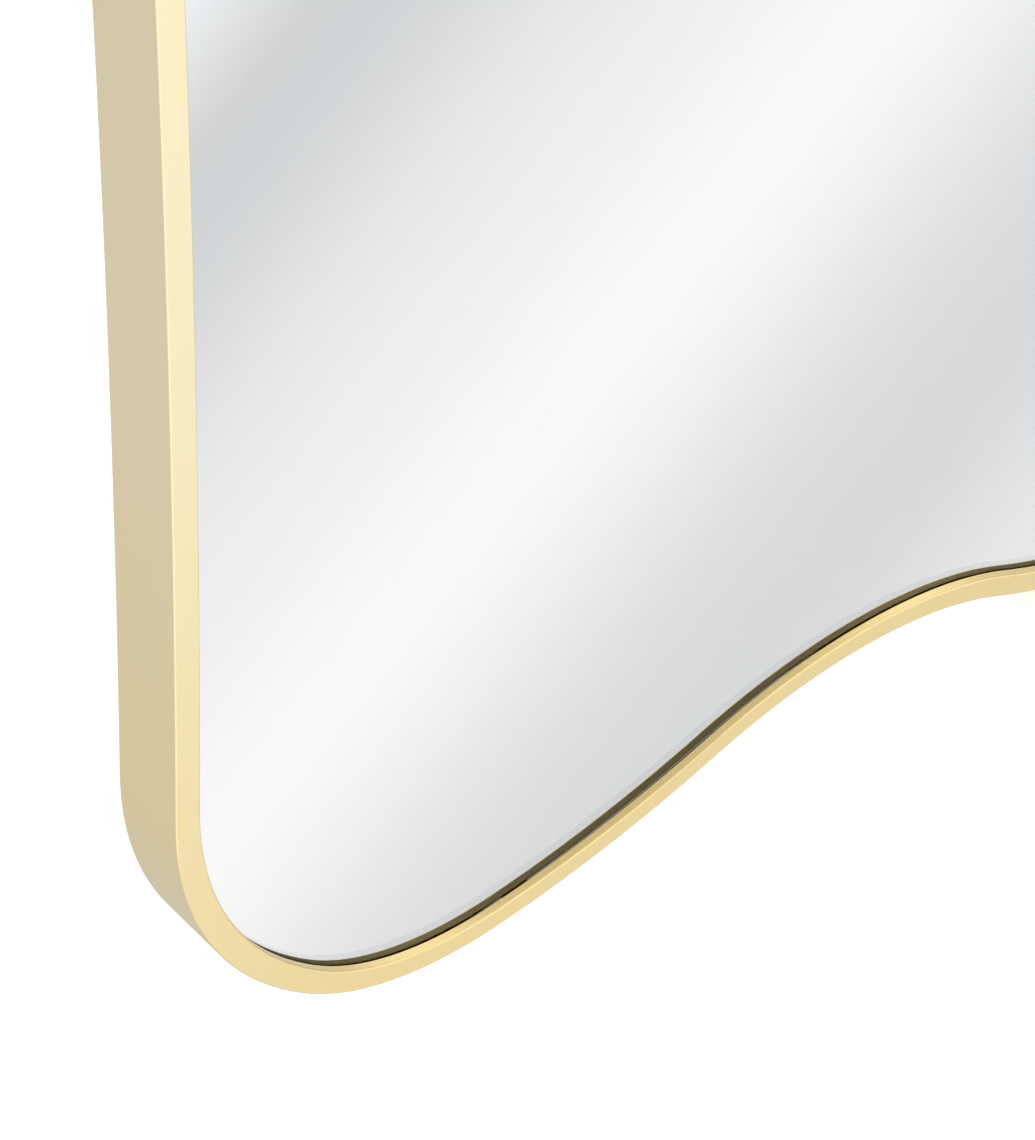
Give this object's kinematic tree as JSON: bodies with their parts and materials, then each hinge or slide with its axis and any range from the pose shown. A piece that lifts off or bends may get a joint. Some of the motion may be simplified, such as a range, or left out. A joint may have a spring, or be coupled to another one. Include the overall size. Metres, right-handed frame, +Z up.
{
  "type": "irregular wall mirror",
  "caption": "Wall mirror with a soft asymmetric outline in a deep bent aluminium frame with a flat front lip, hung by folding D rings on its backing board.",
  "frame": {"origin": "on the wall plane, midway between the two upright hanging points", "axes": "+Z up, -Y out of the mirror's face, +Y into the wall, +X to the right seen from the front"},
  "size_m": [0.5918, 0.0275, 0.9143],
  "materials": {
    "gold_aluminium": "satin champagne-gold anodised",
    "zinc_steel": "zinc plated",
    "nickel_steel": "nickel plated",
    "black_foam_tape": "matt closed-cell foam",
    "clear_glass": "polished float glass",
    "silvering": "silver coating under grey back paint",
    "backing_film": "woven safety film",
    "white_foam": "soft packing foam",
    "board": "dark laminated fibreboard"
  },
  "bodies": {
    "mirror": {"backing_board": "board", "clip_screws": "zinc_steel", "edge_pad_1": "black_foam_tape", "edge_pad_2": "black_foam_tape", "edge_pad_3": "black_foam_tape", "edge_pad_4": "black_foam_tape", "edge_pad_5": "black_foam_tape", "edge_pad_6": "black_foam_tape", "edge_pad_7": "black_foam_tape", "edge_pad_8": "black_foam_tape", "foam_sheet": "white_foam", "frame": "gold_aluminium", "glazing_gasket": "black_foam_tape", "hanger_screws": "zinc_steel", "hanger_strap_left": "nickel_steel", "hanger_strap_right": "nickel_steel", "hanger_strap_side_lower": "nickel_steel", "hanger_strap_side_upper": "nickel_steel", "mirror_glass": "clear_glass", "retaining_clip_01": "zinc_steel", "retaining_clip_02": "zinc_steel", "retaining_clip_03": "zinc_steel", "retaining_clip_04": "zinc_steel", "retaining_clip_05": "zinc_steel", "retaining_clip_06": "zinc_steel", "retaining_clip_07": "zinc_steel", "retaining_clip_08": "zinc_steel", "safety_film": "backing_film", "silver_coating": "silvering", "splice_key": "zinc_steel", "splice_screws": "zinc_steel"},
    "ring_left": {"hanger_ring_left": "nickel_steel"},
    "ring_right": {"hanger_ring_right": "nickel_steel"},
    "ring_side_upper": {"hanger_ring_side_upper": "nickel_steel"},
    "ring_side_lower": {"hanger_ring_side_lower": "nickel_steel"}
  },
  "joints": [
    {"name": "ring_left_swing", "type": "hinge", "parent": "mirror", "child": "ring_left", "pos_m": [-0.15, -0.0086, -0.017], "axis": [1, 0, 0], "range_deg": [0, 180]},
    {"name": "ring_right_swing", "type": "hinge", "parent": "mirror", "child": "ring_right", "pos_m": [0.15, -0.0086, -0.017], "axis": [1, 0, 0], "range_deg": [0, 180]},
    {"name": "ring_side_upper_swing", "type": "hinge", "parent": "mirror", "child": "ring_side_upper", "pos_m": [0.208, -0.0086, -0.103], "axis": [0, 0, -1], "range_deg": [0, 180]},
    {"name": "ring_side_lower_swing", "type": "hinge", "parent": "mirror", "child": "ring_side_lower", "pos_m": [0.208, -0.0086, -0.363], "axis": [0, 0, -1], "range_deg": [0, 180]}
  ]
}
